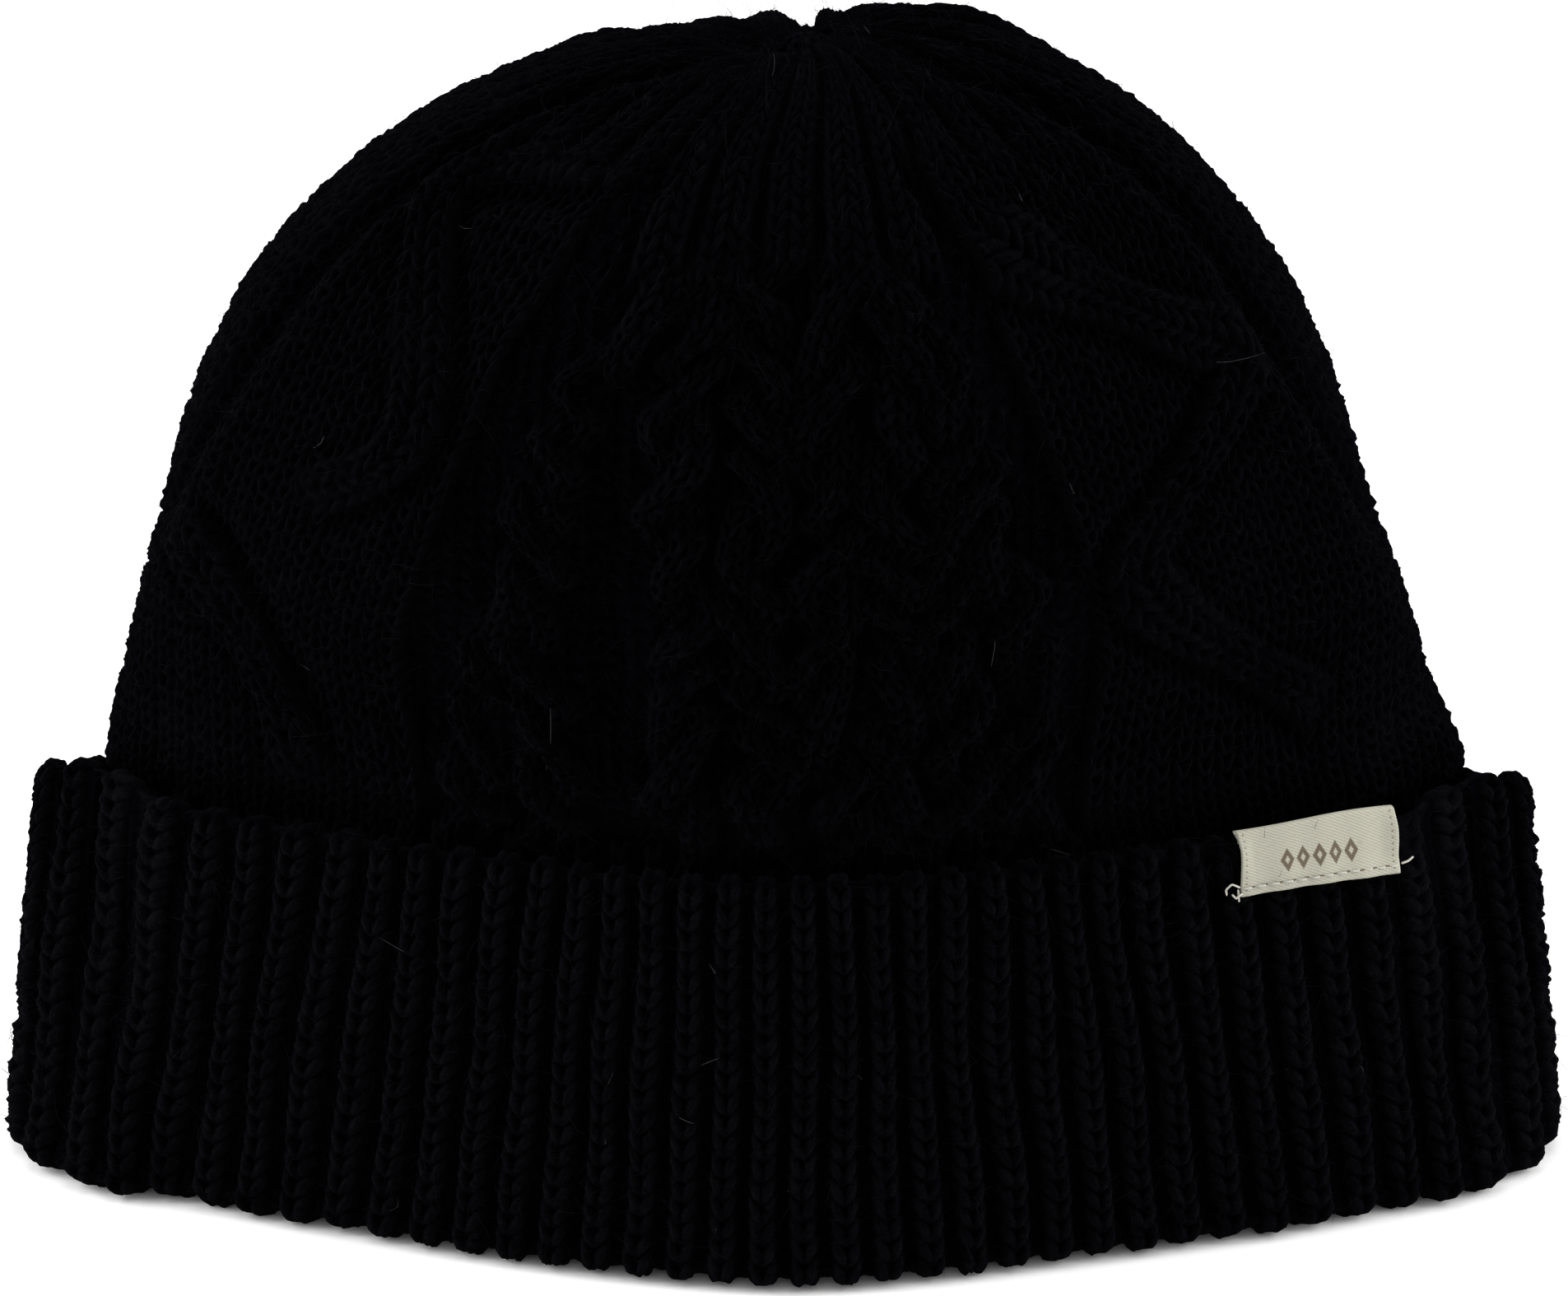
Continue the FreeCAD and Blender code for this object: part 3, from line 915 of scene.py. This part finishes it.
def make_band():
    share = np.linspace(0, 1, int(110 * DETAIL))
    share = np.concatenate([share, share[::-1]])[:, None]
    inner = (np.arange(len(share)) >= len(share) // 2)[:, None]
    inset = np.where(inner, KNIT_THICKNESS - 0.7, 0.8)
    around = around_grid(CROWN_GIRTH, 0.5)[None, :]
    width, depth = band_section(share, inset)
    ovals = Ovals(width, depth, 8.0 + 2.4 * share - inset, around)
    height = BAND_LOW + 0.5 + (CROWN_BASE + 0.5 - BAND_LOW) * share
    base = points_at(ovals.x - share**2, ovals.y, height)
    base = settle(pinch(base, 77, 94, 0.76))
    phase = rib_phase(around) + np.where(inner, 0.5, 0.0)
    course = height / RIB_COURSE
    relief = rib(phase, course, INNER_RIB_DEPTH) - INNER_RIB_DEPTH / 2
    lines = rib_lines(phase, course + 0 * phase)
    return fabric("inner_band", base, relief, lines, RIB_WOOL)[0]


# ---------------------------------------------------------------- trim
def slab(name, points, cloth, thickness, material):
    """Thin closed sheet from a grid of points, with places on the cloth in millimetres for its weave."""
    rows, columns = points.shape[:2]
    along = np.gradient(points, axis=0)
    across = np.gradient(points, axis=1)
    normal = np.cross(across, along)
    normal /= np.linalg.norm(normal, axis=-1, keepdims=True)
    both = np.concatenate([points + normal * thickness / 2, points - normal * thickness / 2])
    index = np.arange(rows * columns).reshape(rows, columns)
    top = np.stack([index[:-1, :-1], index[:-1, 1:], index[1:, 1:], index[1:, :-1]], axis=-1).reshape(-1, 4)
    rim = np.concatenate([index[0, :-1], index[:-1, -1], index[-1, :0:-1], index[:0:-1, 0]])
    after = np.roll(rim, -1)
    below = rows * columns
    sides = np.stack([rim + below, after + below, after, rim], axis=-1)
    faces = np.concatenate([top, top[:, ::-1] + below, sides])
    mesh = raw_mesh(name, both.reshape(-1, 3), faces)
    attribute = mesh.attributes.new("cloth", "FLOAT_VECTOR", "POINT")
    attribute.data.foreach_set("vector", np.concatenate([cloth, cloth]).astype(np.float32).ravel())
    return new_object(name, mesh, material)


def label_path():
    """Insets and heights from the front leg's end, over the pressed edge of the cuff and down behind it."""
    fold = 0.36
    turn = np.radians(np.linspace(180, 0, 17))
    low = CUFF_HEIGHT - LABEL_LEG
    shoulder = CUFF_HEIGHT - 0.55
    leg = np.linspace(low, shoulder, 30)[:-1]
    rise = (leg - low) / (shoulder - low)
    front = -0.32 + 1.07 * rise**1.2
    back = 4.75 - 3.28 * rise
    inset = np.concatenate([front, 0.75 + fold + fold * np.cos(turn), back[::-1]])
    height = np.concatenate([leg, shoulder + fold * np.sin(turn), leg[::-1]])
    return inset, height


def label_point(side, inset, height):
    """Places on the cuff at a distance sideways from the label's middle."""
    edge = cuff_oval(CUFF_HEIGHT, 0.0, np.linspace(0.0, 0.5, 400))
    middle = np.interp(LABEL_MIDDLE, edge.x, edge.arc) / edge.half_length
    half_length = cuff_oval(height, inset, np.zeros(1)).half_length
    ovals = cuff_oval(height, inset, middle + side / half_length)
    return shape_cuff(points_at(ovals.x, ovals.y, height))


def label_skew(along):
    """The label leans a little, and more of its back shows past its left edge than of its front."""
    lean = 1.14 * np.clip(along / LABEL_LEG, 0, 1) - 0.57
    return lean + 1.7 * smooth(LABEL_LEG - 0.3, LABEL_LEG + 3.0, along)


def make_woven_label():
    inset, height = label_path()
    side = np.linspace(-LABEL_WIDTH / 2, LABEL_WIDTH / 2, 101)[None, :]
    inset = inset[:, None]
    height = height[:, None]
    front = np.arange(len(inset))[:, None] < 38
    low = smooth(0, 6, height - CUFF_HEIGHT + LABEL_LEG)
    pucker = 0.10 * np.sin(side * TURN / 5.9 + 0.8) * (1 - 0.6 * low)
    curl = 0.55 * smooth(9.5, 12.5, np.abs(side)) * low * smooth(60.5, 57, height)
    curl = curl + 0.35 * smooth(3, 0, height - CUFF_HEIGHT + LABEL_LEG) * smooth(-6, 12, side)
    crest = 0.25 * np.sin(side / 5.0)
    stand_off = np.where(front, pucker + curl, 0.0)
    step = np.hypot(np.diff(inset[:, 0]), np.diff(height[:, 0]))
    along = np.concatenate([[0], np.cumsum(step)])[:, None]
    height = height + crest * smooth(54, 60, height)
    points = label_point(side + label_skew(along), inset - stand_off, height)
    cloth = points_at(side, along, 0.0)
    return slab("folded_label", points, cloth.reshape(-1, 3), LABEL_THICKNESS, LABEL_CLOTH), along[-1, 0]


def make_label_stitching():
    paths = []
    height = CUFF_HEIGHT - LABEL_LEG + LABEL_STITCH_HEIGHT
    lean = label_skew(LABEL_STITCH_HEIGHT)
    for index in range(-6, 6):
        side = lean + (index + 0.5) * LABEL_STITCH_PITCH + np.linspace(-0.66, 0.66, 9)
        dip = np.abs(np.linspace(-1, 1, 9)) ** 4
        paths.append(label_point(side, -0.68 + 0.35 * dip, height + 0.04 * math.sin(index)))
    # Loose ends of the thread, as (sideways, inset, up) from the row.
    tails = [
        [(-12.3, -0.5, 0.2), (-13.2, -1.0, 0.7), (-14.3, -1.3, 1.3), (-14.9, -1.0, 0.5),
         (-14.6, -0.8, -0.5)],
        [(-12.0, -0.5, -0.7), (-12.9, -1.0, -0.6), (-13.7, -1.2, -0.9), (-14.0, -0.9, -0.3)],
        [(-12.4, -0.3, 0.0), (-12.9, -0.8, -0.9), (-13.0, -0.9, -1.6)],
        [(12.3, -0.6, 0.1), (13.1, -1.0, 0.3), (13.8, -1.2, 0.7)],
    ]
    for tail in tails:
        tail = np.array(tail)
        even = np.linspace(0, len(tail) - 1, 14)
        side, inset, rise = (np.interp(even, np.arange(len(tail)), tail[:, column]) for column in range(3))
        paths.append(label_point(lean + side, inset, height + rise))
    return tube_object("label_running_stitch", paths, 0.15, LABEL_THREAD, sides=6)


def band_inside(side, height, stand_off):
    """Places on the inner band's inside at the back, sideways from the middle of the back."""
    share = (height - BAND_LOW) / (CROWN_BASE - BAND_LOW)
    width, depth = band_section(share, KNIT_THICKNESS + stand_off)
    radius = 4.5 + 2.4 * share
    big = (width**2 + depth**2 - 2 * width * radius) / (2 * (depth - radius))
    y = depth - big + np.sqrt(big**2 - side**2)
    return settle(points_at(side, y, height))


def make_care_label():
    side = np.linspace(-CARE_WIDTH / 2, CARE_WIDTH / 2, 49)[None, :]
    along = np.linspace(0, CARE_LENGTH, 69)[:, None]
    hang = smooth(4, CARE_LENGTH, along)
    stand_off = 0.55 + 0.5 * hang * (0.5 + 0.5 * np.sin(side / 3.4)) + 0.5 * hang
    points = band_inside(CARE_MIDDLE + side, CARE_TOP - along, stand_off)
    cloth = points_at(side, along, 0.0)
    return slab("care_tape", points, cloth.reshape(-1, 3), 0.3, CARE_CLOTH)


def make_care_stitching():
    paths = []
    for index in range(9):
        side = CARE_MIDDLE + (index - 4) * 2.4 + np.linspace(-0.75, 0.75, 9)
        dip = np.abs(np.linspace(-1, 1, 9)) ** 4
        paths.append(band_inside(side, CARE_TOP - 2.0, 0.95 - 0.35 * dip))
    return tube_object("care_tape_stitch", paths, 0.16, LABEL_THREAD, sides=6)


def overcast(heights, place):
    """Two zigzags of yarn that cross over each other up a seam; place gives a point from side and height."""
    paths = []
    for side in (-1, 1):
        swing = side * 0.95 * np.sin(math.pi * heights / 3.2)
        lift = 0.25 * side * np.cos(math.pi * heights / 3.2)
        paths.append(place(swing, heights, lift))
    return paths


def make_cuff_seam():
    def place(side, height, lift):
        ovals = cuff_oval(height, CUFF_THICKNESS + 0.1 + lift, np.array([1.0]))
        return settle(points_at(side, ovals.y, height))
    heights = np.linspace(6.5, CUFF_HEIGHT - 2.5, int(220 * DETAIL))
    return tube_object("cuff_seam", overcast(heights, place), 0.42, SEAM_WOOL, twist=3.0)


def make_back_seam():
    share = crown_rows(1.0)[0]
    curve = crown_base(share[:, None], KNIT_THICKNESS + 1.5, np.array([[1.0]]))[0][:, 0]

    def place(side, height, lift):
        on_band = band_inside(side, height, 0.75 + lift)
        y = np.interp(height, curve[:, 2], curve[:, 1]) - lift
        y = np.where(height < CROWN_BASE + 1.0, on_band[:, 1], y)
        lean = np.interp(height, curve[:, 2], curve[:, 0])
        x = side + np.where(height < CROWN_BASE + 1.0, 0.0, lean)
        return points_at(x, y, height)
    heights = np.linspace(7.0, 142.0, int(560 * DETAIL))
    return tube_object("back_seam", overcast(heights, place), 0.50, SEAM_WOOL, twist=3.0)


def make_gather(tip):
    """Yarn drawn tight round the last stitches, in the dimple at the top."""
    turn = np.linspace(0, 6 * math.pi, int(220 * DETAIL))
    radius = 2.3 - 0.30 * turn / TURN + 0.12 * np.sin(5 * turn)
    rise = -1.2 + 0.42 * turn / TURN + 0.18 * np.cos(3 * turn)
    paths = [points_at(tip[0] + radius * np.cos(turn), tip[1] + radius * np.sin(turn), tip[2] + rise)]
    for index in range(7):
        angle = TURN * index / 7 + 0.3
        reach = np.linspace(0.3, 2.9, 12)
        height = tip[2] + 0.3 - 0.16 * (reach - 1.2) ** 2
        paths.append(points_at(tip[0] + reach * math.cos(angle), tip[1] + reach * math.sin(angle), height))
    return tube_object("drawn_yarn", paths, 0.50, SEAM_WOOL, twist=3.0)


def make_knot():
    """Overhand knot of the drawn yarn's end inside the crown, with its two tails."""
    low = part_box("gather_knot")[1].z / MM - 2.4
    turn = np.linspace(0, TURN, int(150 * DETAIL), endpoint=False)
    x = 0.85 * (np.sin(turn) + 2 * np.sin(2 * turn))
    y = 0.85 * (np.cos(turn) - 2 * np.cos(2 * turn))
    knot = points_at(x, y, low - 0.95 * np.sin(3 * turn))
    knot = np.concatenate([knot, knot[:2]])
    paths = [knot]
    for side in (-1, 1):
        even = np.linspace(0, 1, 20)
        x = side * (1.0 + 5.5 * even + 0.8 * np.sin(4 * even))
        paths.append(points_at(x, side * (0.4 + 2.0 * even), low - 0.5 - 7.0 * even**1.2))
    return tube_object("knot_and_tails", paths, 0.70, SEAM_WOOL, twist=3.0)


# ---------------------------------------------------------------- fibres
def make_fuzz(name, points, rows, count, seed):
    """Short fibres that stand off the wool, a few of them pale."""
    rng = np.random.default_rng(seed)
    normals = surface_normals(points)
    row = rng.integers(2, rows - 2, count)
    column = rng.integers(0, points.shape[1], count)
    spacing = np.linalg.norm(points[row, column] - points[row, column - 1], axis=1)
    kept = rng.uniform(0, 1, count) < spacing / np.percentile(spacing, 90)
    row = row[kept]
    column = column[kept]
    count = len(row)
    root = points[row, column]
    normal = normals[row, column]
    lean = rng.normal(0, 1, (count, 3))
    lean -= normal * np.sum(lean * normal, axis=1, keepdims=True)
    lean /= np.linalg.norm(lean, axis=1, keepdims=True)
    length = rng.gamma(3.0, 0.45, count)[:, None] + 0.4
    pale_fibre = np.arange(count) % PALE_ONE_IN == 0
    length[pale_fibre] *= 1.7
    rise = rng.uniform(0.05, 0.60, count)[:, None]
    bend = rng.normal(0, 0.55, (count, 3))
    path = []
    for share in (0.0, 0.35, 0.7, 1.0):
        reach = length * share
        path.append(root - 0.05 * normal + reach * (rise * (1 - 0.5 * share) * normal + lean)
                    + bend * length * share**2 * 0.6)
    path = np.stack(path, axis=1)
    outward = np.sum((path - root[:, None]) * normal[:, None], axis=-1, keepdims=True)
    path -= normal[:, None] * np.maximum(outward - 1.2, 0)
    path[..., 2] = np.maximum(path[..., 2], 0.08)
    direction = path[:, -1] - path[:, 0]
    direction /= np.linalg.norm(direction, axis=1, keepdims=True)
    side = np.cross(direction, normal + 0.01)
    side /= np.linalg.norm(side, axis=1, keepdims=True)
    up = np.cross(side, direction)
    radius = np.array([0.030, 0.028, 0.022, 0.008])[None, :, None, None]
    angle = np.radians([90, 210, 330])
    ring = np.cos(angle)[None, None, :, None] * side[:, None, None]
    ring = ring + np.sin(angle)[None, None, :, None] * up[:, None, None]
    mesh_points = path[:, :, None] + radius * ring
    one = ring_faces(4, 3, False)
    faces = (np.arange(count)[:, None, None] * 12 + one[None]).reshape(-1, 4)
    mesh = raw_mesh(name, mesh_points.reshape(-1, 3), faces)
    piece = new_object(name, mesh, FUZZ)
    mesh.materials.append(PALE_FUZZ)
    pale = np.repeat(pale_fibre, len(one))
    mesh.polygons.foreach_set("material_index", pale.astype(np.int32))
    mesh.update()
    return piece


# ---------------------------------------------------------------- scene
def aim(holder, target):
    direction = Vector(target) - holder.location
    holder.rotation_euler = direction.to_track_quat("-Z", "Y").to_euler()


def make_camera():
    elevation = math.radians(23)
    distance = 0.900
    target = (0.0, 0.0, 0.0745)
    camera = bpy.data.cameras.new("camera")
    camera.sensor_width = 36.0
    camera.lens = 150.3
    camera.clip_end = 20.0
    holder = bpy.data.objects.new("camera", camera)
    holder.location = (
        0.0, -distance * math.cos(elevation), target[2] + distance * math.sin(elevation))
    bpy.context.scene.collection.objects.link(holder)
    aim(holder, target)
    bpy.context.scene.camera = holder


def area_light(name, place, size, power, target=(0, 0, 0.08)):
    light = bpy.data.lights.new(name, "AREA")
    light.shape = "RECTANGLE"
    light.size = size[0]
    light.size_y = size[1]
    light.energy = power
    holder = bpy.data.objects.new(name, light)
    holder.location = place
    bpy.context.scene.collection.objects.link(holder)
    aim(holder, target)


def make_studio():
    floor = raw_mesh("floor", np.array([[-6, -6, 0], [6, -6, 0], [6, 6, 0], [-6, 6, 0]]) / MM,
                     np.array([[0, 1, 2, 3]]))
    new_object("floor", floor, floor_material(), smooth_shading=False)
    world = bpy.data.worlds.new("studio")
    world.use_nodes = True
    background = world.node_tree.nodes["Background"]
    background.inputs["Color"].default_value = (1.0, 1.0, 1.0, 1.0)
    background.inputs["Strength"].default_value = 0.72
    bpy.context.scene.world = world
    area_light("left_box", (-0.95, -0.05, 0.50), (0.7, 1.0), 15.5)
    area_light("right_box", (0.95, -0.05, 0.50), (0.7, 1.0), 13.5)
    area_light("top_box", (0.0, 0.05, 1.1), (1.0, 0.8), 5.5)
    bpy.context.scene.view_settings.view_transform = "Standard"


def place_piece(piece, body, node):
    """A piece that rides on a body and stands for a node, whose own part is hidden."""
    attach(piece, body)
    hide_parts(node)


cuff, cuff_points, cuff_ends = make_cuff()
crown, crown_points, crown_outer_rows = make_crown()
band = make_band()
label, label_length = make_woven_label()
care_label = make_care_label()
tip = crown_points[crown_outer_rows - 1].mean(axis=0)

place_piece(cuff, "cuff", "turn_up_cuff")
place_piece(crown, "crown", "crown_fabric")
place_piece(band, "crown", "inner_rib_band")
place_piece(label, "cuff", "woven_label")
place_piece(make_label_stitching(), "cuff", "label_stitching")
place_piece(care_label, "crown", "care_label")
place_piece(make_care_stitching(), "crown", "care_label_stitching")
place_piece(make_cuff_seam(), "cuff", "cuff_seam_yarn")
place_piece(make_back_seam(), "crown", "back_seam_yarn")
place_piece(make_gather(tip), "crown", "crown_gather_yarn")
place_piece(make_knot(), "crown", "gather_knot")

cuff_fuzz = make_fuzz("cuff_fibres", cuff_points, cuff_ends[1], int(CUFF_FIBRES * DETAIL), 41)
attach(cuff_fuzz, "cuff")
crown_fuzz = make_fuzz("crown_fibres", crown_points, crown_outer_rows, int(CROWN_FIBRES * DETAIL), 42)
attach(crown_fuzz, "crown")

make_camera()
make_studio()
